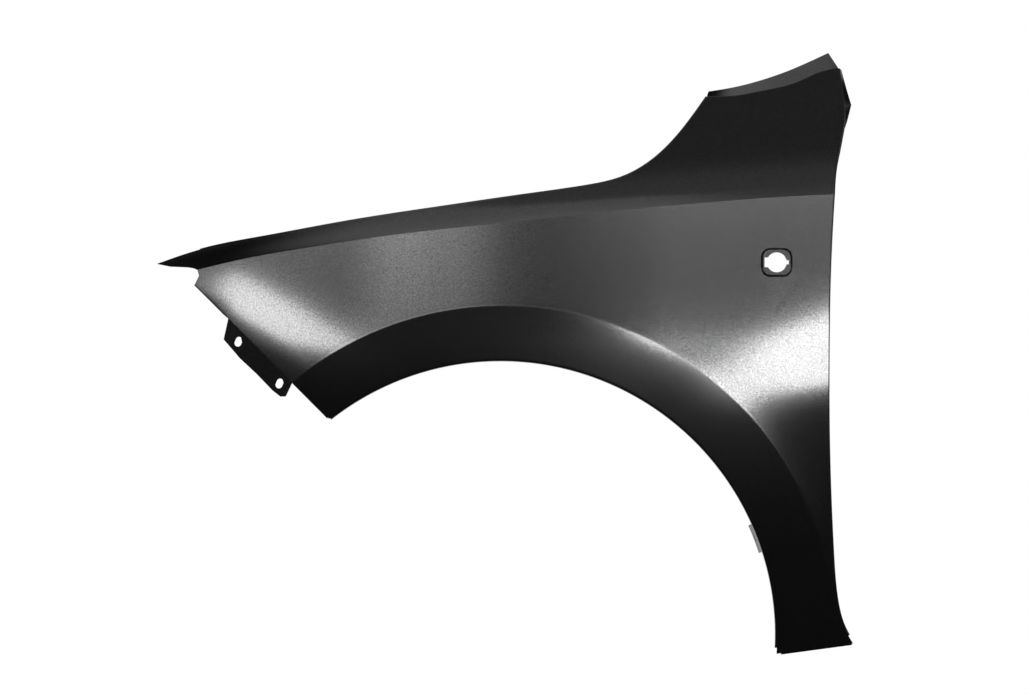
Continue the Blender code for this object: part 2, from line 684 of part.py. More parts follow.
def add_block_cutter(group, name, low, high):
    bpy.ops.mesh.primitive_cube_add(size=1, location=(low + high) / 2)
    cutter = bpy.context.object
    cutter.name = name
    cutter.scale = high - low
    bpy.ops.object.transform_apply(location=False, rotation=False, scale=True)
    for holder in list(cutter.users_collection):
        holder.objects.unlink(cutter)
    group.objects.link(cutter)
    cutter.hide_render = True
    cutter.display_type = "WIRE"
    return cutter


def add_cutters(group, spots):
    """Every hole in the sheet. Each spot lies in the outer face of what it goes through."""
    _, slope = shelf_line()
    up = Vector((-slope, 0, 1)).normalized()
    for k, spot in enumerate(spots["shelf"]):
        add_cutter(group, f"shelf_hole_{k + 1}", spot, up, BOLT_HOLE)
    for k, spot in enumerate(spots["tab"]):
        add_cutter(group, f"tab_slot_{k + 1}", spot, INBOARD, SLOT_WIDTH, SLOT_LENGTH, SLOT_TURN)
    for k, spot in enumerate(spots["door"]):
        add_cutter(group, f"door_hole_{k + 1}", spot, Vector((1, 0, 0)), BOLT_HOLE)
    for k, spot in enumerate(spots["liner"]):
        add_cutter(group, f"liner_hole_{k + 1}", spot, Vector((spot.x, 0, spot.z)).normalized(), LINER_HOLE)
    add_cutter(group, "foot_slot", spots["foot"][0], Vector((0, 0, 1)), SLOT_WIDTH, SLOT_LENGTH)
    key = spots["key"][0]
    add_cutter(group, "key_round", key, INBOARD, KEY_HOLE)
    for name, reach, height in (
        ("key_front", -KEY_FRONT_REACH, KEY_FRONT_HEIGHT),
        ("key_rear", KEY_REAR_REACH, KEY_REAR_HEIGHT),
    ):
        low = key + Vector((min(reach, 0), -CUT_OVERRUN, -height / 2))
        high = key + Vector((max(reach, 0), CUT_OVERRUN, height / 2))
        add_block_cutter(group, name, low, high)


def primer():
    material = bpy.data.materials.new("black_primer")
    material.use_nodes = True
    shader = material.node_tree.nodes["Principled BSDF"]
    shader.inputs["Base Color"].default_value = PRIMER_COLOUR
    shader.inputs["Roughness"].default_value = PRIMER_ROUGHNESS
    shader.inputs["Metallic"].default_value = 0
    return material


def build():
    for old in list(bpy.data.objects):
        bpy.data.objects.remove(old, do_unlink=True)
    group = bpy.data.collections.new("fender")
    cutters = bpy.data.collections.new("cutters")
    bpy.context.scene.collection.children.link(group)
    bpy.context.scene.collection.children.link(cutters)
    bm, spots = build_sheet()
    mesh = bpy.data.meshes.new("fender_panel")
    bm.to_mesh(mesh)
    bm.free()
    mesh.shade_smooth()
    mesh.set_sharp_from_angle(angle=SHARP_ANGLE)
    mesh.materials.append(primer())
    panel = bpy.data.objects.new("fender_panel", mesh)
    group.objects.link(panel)
    wall = panel.modifiers.new("Sheet", "SOLIDIFY")
    wall.thickness = SHEET
    wall.offset = -1
    wall.use_even_offset = True
    add_cutters(cutters, spots)
    holes = panel.modifiers.new("Holes", "BOOLEAN")
    holes.operation = "DIFFERENCE"
    holes.solver = "EXACT"
    holes.operand_type = "COLLECTION"
    holes.collection = cutters

    slope = shelf_line()[1]
    seat = spots["datum"] - Vector((0, 0, SHEET * math.hypot(1, slope)))
    for item in list(group.objects) + list(cutters.objects):
        item.location -= seat


build()
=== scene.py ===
import json
import math

import bmesh
import bpy
import numpy as np
from mathutils import Matrix, Vector

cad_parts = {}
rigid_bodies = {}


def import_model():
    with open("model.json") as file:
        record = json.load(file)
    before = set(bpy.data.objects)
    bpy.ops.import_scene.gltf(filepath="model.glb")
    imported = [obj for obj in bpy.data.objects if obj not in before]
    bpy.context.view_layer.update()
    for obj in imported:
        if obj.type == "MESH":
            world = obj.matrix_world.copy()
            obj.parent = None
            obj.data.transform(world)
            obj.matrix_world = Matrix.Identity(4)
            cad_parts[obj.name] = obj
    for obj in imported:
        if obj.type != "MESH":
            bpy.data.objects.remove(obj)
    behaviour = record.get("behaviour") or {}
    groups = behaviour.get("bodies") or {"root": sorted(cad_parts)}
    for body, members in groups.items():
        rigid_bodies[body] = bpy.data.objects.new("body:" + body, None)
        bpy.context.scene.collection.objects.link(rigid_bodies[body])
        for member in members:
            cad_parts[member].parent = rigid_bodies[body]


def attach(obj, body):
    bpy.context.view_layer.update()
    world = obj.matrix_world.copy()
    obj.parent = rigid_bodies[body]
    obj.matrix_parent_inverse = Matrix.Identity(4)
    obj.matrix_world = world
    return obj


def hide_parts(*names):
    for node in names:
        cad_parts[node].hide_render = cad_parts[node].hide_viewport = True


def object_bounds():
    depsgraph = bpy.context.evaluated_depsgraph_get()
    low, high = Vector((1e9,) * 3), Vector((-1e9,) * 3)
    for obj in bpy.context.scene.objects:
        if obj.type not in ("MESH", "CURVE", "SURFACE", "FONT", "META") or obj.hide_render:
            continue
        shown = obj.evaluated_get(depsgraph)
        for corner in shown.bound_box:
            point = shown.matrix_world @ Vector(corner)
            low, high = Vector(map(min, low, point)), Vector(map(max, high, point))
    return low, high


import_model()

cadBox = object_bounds()

# One left front fender in black dip primer. All lengths are metres, +X runs to the rear, and the
# outer skin faces -Y. Side-view points are shares of the panel's length and height, as in the CAD.
size = dict(
    sheet=0.0008, foldRadius=0.0022, archRadius=0.3435, noseReach=0.0860, legReach=0.0970,
    crownRise=0.3860, archAboveFoot=0.0245, archFront=math.radians(128.3), archCorner=math.radians(54),
    archCentre=(0.221253, -0.105004, -0.488212),
)
size["tipToArch"] = size["noseReach"] + size["archRadius"]
size["length"] = size["tipToArch"] + size["archRadius"] + size["legReach"]
size["height"] = size["archAboveFoot"] + size["archRadius"] + size["crownRise"]

# What gives the skin its depth: sweep to the front, crown, tuck above the sill, two haunches, the
# flare and the leaning lip round the wheel, the roll along the lamp edge, and the shoulder's step
depth = dict(
    sweep=0.185, sweepStart=0.230, sweepPower=3.0, widestHeight=0.368, upperCrown=0.004,
    tuckSlope=0.283, tuckReach=0.300, frontHaunch=(0.0096, 0.034, 0.450), rearHaunch=(0.0154, 0.050, 0.258),
    rearStart=0.184, flare=0.0086, flareWidth=0.045, flareFull=math.radians(14), flareEnd=math.radians(83),
    bandFront=0.0670, bandRear=0.0740, leanFront=0.193, leanRear=-0.030, leanStart=math.radians(56),
    rimLean=0.048, rimWidth=0.010, rimStart=math.radians(84), rimEnd=math.radians(42),
    rimFade=math.radians(20), beadDepth=0.000018, beadWidth=0.0010,
    rollWidth=0.030, rollDepth=0.001, rollFade=0.030,
    shoulderStep=0.020, shoulderReach=0.018, shoulderSlope=0.42,
)

# Lines and spots of the side view
shares = dict(
    shoulder=((0.0582, 0.6396), (0.1178, 0.6560), (0.2198, 0.6769), (0.3348, 0.6968), (0.4497, 0.7117),
              (0.5647, 0.7258), (0.6796, 0.7399), (0.7945, 0.7514), (0.9095, 0.7614), (0.9718, 0.7647)),
    door=((0.9718, 0.7647), (0.9684, 0.6968), (0.9648, 0.5725), (0.9640, 0.4234), (0.9662, 0.2908),
          (0.9711, 0.1665), (0.9770, 0.0920), (0.9868, 0.0489), (1.0003, 0.0200)),
    bonnet=((0.0000, 0.6495), (0.0618, 0.6734), (0.1480, 0.6940), (0.2773, 0.7213), (0.4066, 0.7442),
            (0.5359, 0.7657), (0.6225, 0.7804), (0.6658, 0.7924), (0.7095, 0.8196), (0.7528, 0.8680),
            (0.7902, 0.9263)),
    shelf=((0.0618, 0.6703), (0.6221, 0.7796)),
    pillar=((0.7902, 0.9263), (0.8319, 0.9275), (0.8649, 0.9345), (0.8940, 0.9412), (0.9231, 0.9515),
            (0.9497, 0.9655), (0.9791, 0.9735)),
    pillarEdge=((0.7925, 0.9345), (0.8391, 0.9450), (0.8807, 0.9592), (0.9239, 0.9785), (0.9639, 1.0)),
    rear=((0.9718, 0.7647), (0.9750, 0.8111), (0.9796, 0.8376), (0.9840, 0.8641), (0.9872, 0.8873),
          (0.9848, 0.9287), (0.9791, 0.9735)),
    tip=((0.0582, 0.6396), (0.0530, 0.6424), (0.0445, 0.6440), (0.0187, 0.6452), (0.0000, 0.6495)),
    frontHaunch=((0.0339, 0.6328), (0.3787, 0.4507)), rearHaunch=((0.7236, 0.4216), (0.9764, 0.4962)),
    lampCorner=(0.0545, 0.6156), notch=(0.0603, 0.6296), pocket=(0.8906, 0.6520),
    ear=((0.9900, 0.8860), (0.9980, 0.9130), (0.9900, 0.9400), (0.9820, 0.9700)),
    tabEdge=((-0.06, 0.73), (-0.02, 0.92), (0.09, 0.98), (0.34, 0.96), (0.59, 1), (0.87, 0.91)),
    tabSlots=((0.736, 0.472), (0.089, 0.493)),
)

# Coarse rows and columns as in the CAD, each cut finer for the smooth skin
grid = dict(
    cuts=3, bonnetColumns=28, crownColumns=40, allColumns=60, cornerColumn=0.77, tipEase=1.15,
    footEase=1.30, band=(0, 0.10, 0.38, 0.69, 1), lampCornerRow=8, notchShare=0.94,
    body=(0, 0.07, 0.17, 0.29, 0.43, 0.57, 0.68, 0.78, 0.87, 0.94, 1),
    crown=(0, 0.13, 0.28, 0.43, 0.57, 0.70, 0.85, 1), creaseStart=0.4, creaseLimit=0.58,
    creaseRounds=6, blendColumns=7, foldSteps=5, tabColumns=2, earRows=3,
    beside=0.08, corner=1, sharpAngle=math.radians(24),
)

inboard = Vector((0, 1, 0))


def spline(knots, values):
    # a natural cubic through the points, which runs on straight past its ends
    x = np.asarray(knots, float)
    y = np.asarray(values, float)
    gap = np.diff(x)
    rise = np.diff(y) / gap
    system = np.eye(len(x))
    right = np.zeros(len(x))
    for k in range(1, len(x) - 1):
        system[k, k - 1:k + 2] = gap[k - 1], 2 * (gap[k - 1] + gap[k]), gap[k]
        right[k] = 6 * (rise[k] - rise[k - 1])
    bend = np.linalg.solve(system, right)

    def read(t):
        inside = min(max(t, x[0]), x[-1])
        k = min(int(np.searchsorted(x, inside, side="right")) - 1, len(x) - 2)
        a, b = x[k + 1] - inside, inside - x[k]
        value = (bend[k] * a ** 3 + bend[k + 1] * b ** 3) / (6 * gap[k])
        value += (y[k] / gap[k] - bend[k] * gap[k] / 6) * a
        value += (y[k + 1] / gap[k] - bend[k + 1] * gap[k] / 6) * b
        slope = (bend[k + 1] * b ** 2 - bend[k] * a ** 2) / (2 * gap[k])
        slope += rise[k] - (bend[k + 1] - bend[k]) * gap[k] / 6
        return value + slope * (t - inside)

    return read


def place(share):
    return np.array([
        share[0] * size["length"] - size["tipToArch"],
        share[1] * size["height"] - size["archAboveFoot"],
    ])


def chordShares(points):
    lengths = [float(np.linalg.norm(b - a)) for a, b in zip(points, points[1:])]
    return np.concatenate([[0], np.cumsum(lengths)]) / sum(lengths)


def outline(name):
    points = [place(row) for row in shares[name]]
    knots = chordShares(points)
    across = spline(knots, [p[0] for p in points])
    up = spline(knots, [p[1] for p in points])
    return lambda share: np.array([across(share), up(share)])


def polyline(points, share):
    knots = chordShares(points)
    return np.array([np.interp(share, knots, [p[axis] for p in points]) for axis in (0, 1)])


def readTable(table, share):
    # a table of pairs, read evenly from 0 to 1 along its rows
    knots = np.linspace(0, 1, len(table))
    return [float(np.interp(share, knots, [row[axis] for row in table])) for axis in (0, 1)]


def levels(table, beside):
    # coarse row numbers cut finer, with one more row close beside each creased end
    rows = len(table) - 1
    steps = list(np.arange(rows * grid["cuts"] + 1) / grid["cuts"])
    return sorted(steps + [end + side * grid["beside"] for end, side in beside])


def readLevels(table, steps):
    return [float(value) for value in np.interp(steps, range(len(table)), table)]


def rowAt(steps, level):
    return min(range(len(steps)), key=lambda k: abs(steps[k] - level))


shoulderPoints = [place(row) for row in shares["shoulder"]]
shoulderHeight = spline(*zip(*shoulderPoints))


def smooth(value):
    held = min(max(value, 0), 1)
    return held * held * (3 - 2 * held)


def onCircle(angle, radius):
    return np.array([math.cos(angle), math.sin(angle)]) * radius


def creaseRadius(angle):
    turn = (size["archFront"] - angle) / (size["archFront"] - depth["flareFull"])
    return size["archRadius"] + depth["bandFront"] + (depth["bandRear"] - depth["bandFront"]) * turn


lampCorner = place(shares["lampCorner"])
frontWay = onCircle(size["archFront"], size["archRadius"] + size["foldRadius"]) - lampCorner
frontWay /= np.linalg.norm(frontWay)


def frontRoll(x, z):
    inside = frontWay[0] * (z - lampCorner[1]) - frontWay[1] * (x - lampCorner[0])
    rolled = max(1 - max(inside, 0) / depth["rollWidth"], 0)
    return depth["rollDepth"] * rolled ** 2 * smooth((lampCorner[1] - z) / depth["rollFade"])


def haunchLine(name):
    front, rear = (place(share) for share in shares[name])
    slope = (rear[1] - front[1]) / (rear[0] - front[0])
    return lambda x: front[1] + slope * (x - front[0])


frontHaunch, rearHaunch = haunchLine("frontHaunch"), haunchLine("rearHaunch")


def haunches(x, z):
    # two soft steps inboard above their lines, fading out over the wheel
    deep, wide, fade = depth["frontHaunch"]
    y = deep * (1 + math.tanh((z - frontHaunch(x)) / wide)) / 2 * smooth(-x / fade)
    deep, wide, fade = depth["rearHaunch"]
    y += deep * (1 + math.tanh((z - rearHaunch(x)) / wide)) / 2 * smooth((x - depth["rearStart"]) / fade)
    return y


def archRelief(x, z):
    angle = math.atan2(z, x)
    past = math.hypot(x, z) - creaseRadius(angle)
    turn = (angle - depth["flareFull"]) / (depth["flareEnd"] - depth["flareFull"])
    flare = depth["flare"] * (1 - smooth(turn))
    # above the tyre the lip rolls over at the crease, instead of turning sharply
    rim = smooth((depth["rimStart"] - angle) / depth["rimFade"])
    rim *= smooth((angle - depth["rimEnd"]) / depth["rimFade"])
    rolled = depth["rimLean"] * depth["rimWidth"] * rim
    if past > 0:
        # a hair-fine groove along the crease, where the press tool pinched the sheet
        groove = depth["beadDepth"] * past / depth["beadWidth"] * math.exp(1 - past / depth["beadWidth"])
        return (flare - rolled) * math.exp(-past / depth["flareWidth"]) - groove
    turned = smooth((angle - depth["leanStart"]) / (size["archFront"] - depth["leanStart"]))
    lean = depth["leanFront"] * turned + depth["leanRear"]
    return flare + past * lean - rolled * math.exp(past / depth["rimWidth"])


def bodyDepth(x, z):
    reach = max(depth["sweepStart"] - x, 0) / (depth["sweepStart"] + size["tipToArch"])
    y = depth["sweep"] * reach ** depth["sweepPower"] + frontRoll(x, z) + haunches(x, z)
    rise = z - depth["widestHeight"]
    if rise > 0:
        y += depth["upperCrown"] * (rise / depth["widestHeight"]) ** 2
    else:
        y += depth["tuckSlope"] * (math.hypot(rise, depth["tuckReach"]) - depth["tuckReach"])
    return y - archRelief(x, z)


def skinDepth(x, z):
    above = z - shoulderHeight(x)
    if above <= 0:
        return bodyDepth(x, z)
    lean = depth["shoulderStep"] * (1 - math.exp(-above / depth["shoulderReach"]))
    return bodyDepth(x, z - above) + lean + depth["shoulderSlope"] * above


def skinPoint(side):
    return Vector((side[0], skinDepth(side[0], side[1]), side[1]))


def shareAtCrease(start, end):
    # where the line from start to end crosses the lip's crease
    share = grid["creaseStart"]
    run = np.linalg.norm(end - start)
    for _ in range(grid["creaseRounds"]):
        side = start + share * (end - start)
        radial = side / np.linalg.norm(side)
        miss = creaseRadius(math.atan2(side[1], side[0])) - np.linalg.norm(side)
        share += miss / (radial @ (end - start) / run) / run
    return share


bandLevels = levels(grid["band"], [(len(grid["band"]) - 1, -1)])
bodyLevels = levels(grid["body"], [(0, 1), (len(grid["body"]) - 1, -1)])
crownLevels = levels(grid["crown"], [(0, 1)])


def sectionColumns():
    # runs from the arch edge up to the shoulder, and past the corner to the door edge
    arch = size["archRadius"] + size["foldRadius"]
    footAngle = -math.asin((size["archAboveFoot"] - size["foldRadius"]) / arch)
    crown, every = grid["crownColumns"], grid["allColumns"]
    angleAt = spline((0, crown, every), (size["archFront"], size["archCorner"], footAngle))
    shareAt = spline((0, grid["bonnetColumns"], crown), (0, grid["cornerColumn"], 1))
    door = outline("door")
    first, last = shoulderPoints[0][0], shoulderPoints[-1][0]
    columns = []
    for step in range(every * grid["cuts"] + 1):
        i = step / grid["cuts"]
        if i <= crown:
            onRow = crown * (i / crown) ** grid["tipEase"]
            x = first + (last - first) * shareAt(onRow)
            end = np.array([x, shoulderHeight(x)])
        else:
            left = (every - i) / (every - crown)
            onRow = every - (every - crown) * left ** grid["footEase"]
            end = door(1 - left ** grid["footEase"])
        columns.append((onCircle(angleAt(onRow), arch), end))
    return columns


def bodyRows():
    # rows of side-view points from the wheel opening out to the shoulder and the door, the lip first,
    # all drawn over to the lamp edge at the front
    columns = sectionColumns()
    limits = [min(shareAtCrease(a, b), grid["creaseLimit"]) for a, b in columns]
    notch = place(shares["notch"])
    start, end = columns[0]
    frontCrease = start + shareAtCrease(start, lampCorner) * (lampCorner - start)
    band = readLevels(grid["band"], bandLevels)
    cornerShare = grid["body"][grid["lampCornerRow"]]
    blend = grid["blendColumns"] * grid["cuts"]
    rows = []
    for share in band + readLevels(grid["body"], bodyLevels)[1:]:
        inBand = len(rows) < len(band)
        row = []
        for limit, (a, b) in zip(limits, columns):
            crease = a + limit * (b - a)
            row.append(a + share * (crease - a) if inBand else crease + share * (b - crease))
        if inBand:
            edge = start + share * (frontCrease - start)
        elif share <= cornerShare:
            edge = frontCrease + share / cornerShare * (lampCorner - frontCrease)
        elif share <= grid["notchShare"]:
            along = (share - cornerShare) / (grid["notchShare"] - cornerShare)
            edge = lampCorner + along * (notch - lampCorner)
        else:
            edge = notch + (share - grid["notchShare"]) / (1 - grid["notchShare"]) * (end - notch)
        shift = edge - row[0]
        for i in range(blend):
            row[i] = row[i] + shift * (1 - i / blend) ** 2
        if len(rows) == len(band) - 1:
            for i in range(blend):
                angle = math.atan2(row[i][1], row[i][0])
                row[i] = onCircle(angle, creaseRadius(angle))
        rows.append(row)
    return rows


def crownRows(shoulder):
    # rows from the shoulder up to the bonnet and the pillar
    bonnet, pillar, rear = outline("bonnet"), outline("pillar"), outline("rear")
    low, crown = grid["bonnetColumns"], grid["crownColumns"]
    top = []
    for step in range(crown * grid["cuts"] + 1):
        i = step / grid["cuts"]
        top.append(bonnet((i / low) ** grid["tipEase"]) if i <= low else pillar((i - low) / (crown - low)))
    tip = [place(row) for row in shares["tip"]]
    blend = grid["blendColumns"] * grid["cuts"]
    rows = []
    for share in readLevels(grid["crown"], crownLevels):
        row = [a + share * (b - a) for a, b in zip(shoulder, top)]
        frontShift = polyline(tip, share) - row[0]
        rearShift = rear(share) - row[-1]
        for i in range(blend):
            fade = (1 - i / blend) ** 2
            row[i] = row[i] + frontShift * fade
            row[-1 - i] = row[-1 - i] + rearShift * fade
        rows.append(row)
    return rows


def addRows(bm, rows):
    return [[bm.verts.new(skinPoint(side)) for side in row] for row in rows]


def joinRows(bm, rows, skip=()):
    for j in range(len(rows) - 1):
        for i in range(len(rows[j]) - 1):
            if (i, j) not in skip:
                bm.faces.new((rows[j][i], rows[j][i + 1], rows[j + 1][i + 1], rows[j + 1][i]))


def headings(edge, behind):
    # the ways in which the sheet runs out over its edge, square to it
    ways = []
    for k, vert in enumerate(edge):
        before, after = edge[max(k - 1, 0)], edge[min(k + 1, len(edge) - 1)]
        along = (after.co - before.co).normalized()
        way = vert.co - behind[k].co
        ways.append((way - way.dot(along) * along).normalized())
    return ways


def fold(bm, edge, ways, targets, runs, slits=()):
    # bends the sheet over the fold radius and carries it straight on, open at the slits
    steps = grid["foldSteps"]
    rows = [[] for _ in range(steps + 1)]
    for vert, way, target, run in zip(edge, ways, targets, runs):
        across = (target - target.dot(way) * way).normalized()
        angle = way.angle(target)
        for step in range(1, steps + 1):
            turn = angle * step / steps
            bend = math.sin(turn) * way + (1 - math.cos(turn)) * across
            rows[step - 1].append(bm.verts.new(vert.co + size["foldRadius"] * bend))
        rows[-1].append(bm.verts.new(rows[-2][-1].co + target * run))
    joinRows(bm, [edge] + rows, {(slit, steps) for slit in slits})
    return rows


def evenFold(bm, edge, behind, target, run):
    return fold(bm, edge, headings(edge, behind), [target] * len(edge), [run] * len(edge))


def widen(bm, edge, targets, run):
    tab = [bm.verts.new(vert.co + target * run) for vert, target in zip(edge, targets)]
    joinRows(bm, [edge, tab])
    return tab


def middle(*rows):
    ends = [row[k].co for row in rows for k in (0, -1)]
    return sum(ends, Vector()) / len(ends)


def toPoints(edge, sides, depths):
    ways = [Vector((side[0], y, side[1])) - vert.co for vert, side, y in zip(edge, sides, depths)]
    return [way.normalized() for way in ways], [way.length for way in ways]


# The return along each edge, with its tabs for bolts and screws
flange = dict(
    arch=0.013, archLean=math.radians(2), linerTab=0.018, linerLean=math.radians(13),
    linerAngles=(math.radians(26), math.radians(15.5)), door=0.011, doorTab=0.017, doorTabs=(0.22, 0.62),
    foot=0.020, lamp=0.010, climb=0.014, dropLean=math.radians(7), shelfDrop=0.018, shelf=0.012,
    shelfTab=0.017, shelfTabs=(0.04, 0.32, 0.60, 0.86), bumperTab=0.0255, bumperSlope=0.55,
    ear=0.009, pillar=0.020,
)


def archFlange(bm, body, spots):
    cuts = grid["cuts"]
    edge = body[0][grid["corner"]:-cuts]
    behind = body[1][grid["corner"]:-cuts]
    coarse = range(cuts - grid["corner"], len(edge) - cuts, cuts)
    angles = [math.atan2(vert.co.z, vert.co.x) for vert in edge]

    def leaning(angle, lean):
        return math.cos(lean) * inboard - math.sin(lean) * Vector((math.cos(angle), 0, math.sin(angle)))

    targets = [leaning(angle, flange["archLean"]) for angle in angles]
    rows = fold(bm, edge, headings(edge, behind), targets, [flange["arch"]] * len(edge))
    high, low = flange["linerAngles"]
    chosen = [k for k in coarse if low <= angles[k] <= high]
    chosen = list(range(chosen[0], chosen[-1] + 1))
    tabTargets = [leaning(angles[k], flange["linerLean"]) for k in chosen]
    tab = widen(bm, [rows[-1][k] for k in chosen], tabTargets, flange["linerTab"])
    spots["liner"] = [middle([rows[-1][k] for k in chosen], tab)]
    for wanted in holes["linerAngles"]:
        k = min(coarse, key=lambda n: abs(angles[n] - math.radians(wanted)))
        spots["liner"].append(middle(rows[-1][k:k + cuts + 1], rows[-2][k:k + cuts + 1]))


def rearFlanges(bm, body, crown, spots):
    cuts = grid["cuts"]
    last = len(body[-1]) - 1
    columns = range(last - cuts, grid["crownColumns"] * cuts, -1)
    edge = [body[-1][i] for i in columns] + [row[-1] for row in crown]
    behind = [body[-2][i] for i in columns] + [row[-2] for row in crown]
    wingRows = len(crown) - rowAt(crownLevels, len(grid["crown"]) - 1 - grid["earRows"])
    wing = edge[-wingRows:]
    ears = [place(readTable(shares["ear"], k / (wingRows - 1))) for k in range(wingRows)]
    wingTargets, reaches = toPoints(wing, ears, [vert.co.y + flange["ear"] for vert in wing])
    straight = len(edge) - wingRows
    targets = [inboard] * straight + wingTargets
    runs = [flange["door"]] * straight
    runs += [max(reach - size["foldRadius"], size["foldRadius"]) for reach in reaches]
    rows = fold(bm, edge, headings(edge, behind), targets, runs)
    spots["door"] = []
    for share in flange["doorTabs"]:
        first = round(share * straight / cuts) * cuts
        chosen = rows[-1][first:first + grid["tabColumns"] * cuts + 1]
        tab = widen(bm, chosen, [inboard] * len(chosen), flange["doorTab"])
        spots["door"].append(middle(chosen, tab))


def pillarFlange(bm, crown):
    cuts = grid["cuts"]
    edge = crown[-1][grid["bonnetColumns"] * cuts:]
    ways = headings(edge, crown[-2][grid["bonnetColumns"] * cuts:])
    top = outline("pillarEdge")
    tops = [top(k / (len(edge) - 1)) for k in range(len(edge))]
    targets, reaches = toPoints(edge, tops, [vert.co.y + flange["pillar"] for vert in edge])
    fold(bm, edge, ways, targets, [reach - size["foldRadius"] for reach in reaches])


def shelfLine():
    front, rear = (place(share) for share in shares["shelf"])
    slope = (rear[1] - front[1]) / (rear[0] - front[0])
    return lambda x: front[1] - flange["shelfDrop"] + slope * (x - front[0]), slope


def bonnetFlange(bm, crown, spots):
    # a drop and a level shelf for the bolts, then a short return that climbs to the pillar
    cuts = grid["cuts"]
    height, _ = shelfLine()
    down = Vector((0, math.sin(flange["dropLean"]), -math.cos(flange["dropLean"])))
    first, last = (place(share)[0] for share in shares["shelf"])
    coarse = [i for i in range(0, grid["bonnetColumns"] * cuts, cuts) if first <= crown[-1][i].co.x <= last]
    columns = range(coarse[0], coarse[-1] + 1)
    edge = [crown[-1][i] for i in columns]
    ways = headings(edge, [crown[-2][i] for i in columns])
    runs = [vert.co.z - height(vert.co.x) - size["foldRadius"] for vert in edge]
    drop = fold(bm, edge, ways, [down] * len(edge), runs)[-1]
    rows = fold(bm, drop, [down] * len(edge), [inboard] * len(edge), [flange["shelf"]] * len(edge))
    for vert in rows[-2] + rows[-1]:
        vert.co.z = height(vert.co.x)
    spots["shelf"] = []
    for share in flange["shelfTabs"]:
        start = round(share * len(coarse)) * cuts
        chosen = rows[-1][start:start + grid["tabColumns"] * cuts + 1]
        tab = widen(bm, chosen, [inboard] * len(chosen), flange["shelfTab"])
        spots["shelf"].append(middle(chosen, tab))
    climb = range(columns[-1], grid["bonnetColumns"] * cuts + 1)
    edge = [crown[-1][i] for i in climb]
    evenFold(bm, edge, [crown[-2][i] for i in climb], inboard, flange["climb"])


def frontFlanges(bm, body, spots):
    # the lamp edge's return, with the bumper tab let out of it between two slits
    creaseRow = len(bandLevels) - 1
    cornerRow = creaseRow + rowAt(bodyLevels, grid["lampCornerRow"])
    rows = body[grid["corner"]:cornerRow + 1]
    edge = [row[0] for row in rows]
    ways = headings(edge, [row[1] for row in rows])
    last = len(shares["tabEdge"]) - 1
    tabRows = rowAt(bodyLevels, last)
    tab = range(creaseRow - grid["corner"], creaseRow - grid["corner"] + tabRows + 1)
    low, high = edge[tab[0]].co, edge[tab[-1]].co
    root = Vector((high.x - low.x, 0, high.z - low.z))
    out = Vector((-root.z, 0, root.x)).normalized()

    def tabPoint(share):
        side = low + share[0] * root + share[1] * flange["bumperTab"] * out
        y = low.y + share[0] * (high.y - low.y) + share[1] * flange["bumperTab"] * flange["bumperSlope"]
        return Vector((side.x, y, side.z))

    corners = [tabPoint(readTable(shares["tabEdge"], level / last)) for level in bodyLevels[:tabRows + 1]]
    targets = [inboard] * len(edge)
    runs = [flange["lamp"]] * len(edge)
    for k, corner in zip(tab, corners):
        targets[k] = (corner - edge[k].co).normalized()
        runs[k] = (corner - edge[k].co).length - size["foldRadius"]
    free = fold(bm, edge, ways, targets, runs, (tab[0] - 1, tab[-1]))[-1]
    for k, corner in zip(tab, corners):
        free[k].co = corner
    spots["tab"] = [tabPoint(share) for share in shares["tabSlots"]]


# Bolt and screw holes, the bumper slots, and the sunk pocket with its keyed lamp hole
holes = dict(
    bolt=0.0075, slotWidth=0.0085, slotLength=0.0125, slotTurn=math.radians(113), liner=0.0050,
    linerAngles=(117, 95, 72, 50, 34, 6), overrun=0.004, sides=48, pocketLength=0.0395,
    pocketHeight=0.0365, pocketCorner=0.0120, pocketDepth=0.0028, pocketWall=0.0026,
    pocketMargin=0.004, pocketSteps=14, key=0.0248, keyFront=(0.0152, 0.0120), keyRear=(0.0150, 0.0050),
)


def roundedRectangle(length, height, corner):
    points = []
    steps = holes["pocketSteps"]
    for quarter, (rear, up) in enumerate(((1, 1), (-1, 1), (-1, -1), (1, -1))):
        for step in range(steps):
            turn = math.pi / 2 * (quarter + step / (steps - 1))
            points.append((
                rear * (length / 2 - corner) + corner * math.cos(turn),
                up * (height / 2 - corner) + corner * math.sin(turn),
            ))
    return points


def pocketWindow(body):
    # the stretch of rows and columns that makes room for the pocket
    centre = place(shares["pocket"])
    reach = max(holes["pocketLength"], holes["pocketHeight"]) / 2 + holes["pocketMargin"]
    hit = [
        (i, j) for j, row in enumerate(body) for i, vert in enumerate(row)
        if max(abs(vert.co.x - centre[0]), abs(vert.co.z - centre[1])) < reach
    ]
    columns, rows = [i for i, _ in hit], [j for _, j in hit]
    return min(columns) - 1, max(columns) + 1, min(rows) - 1, max(rows) + 1


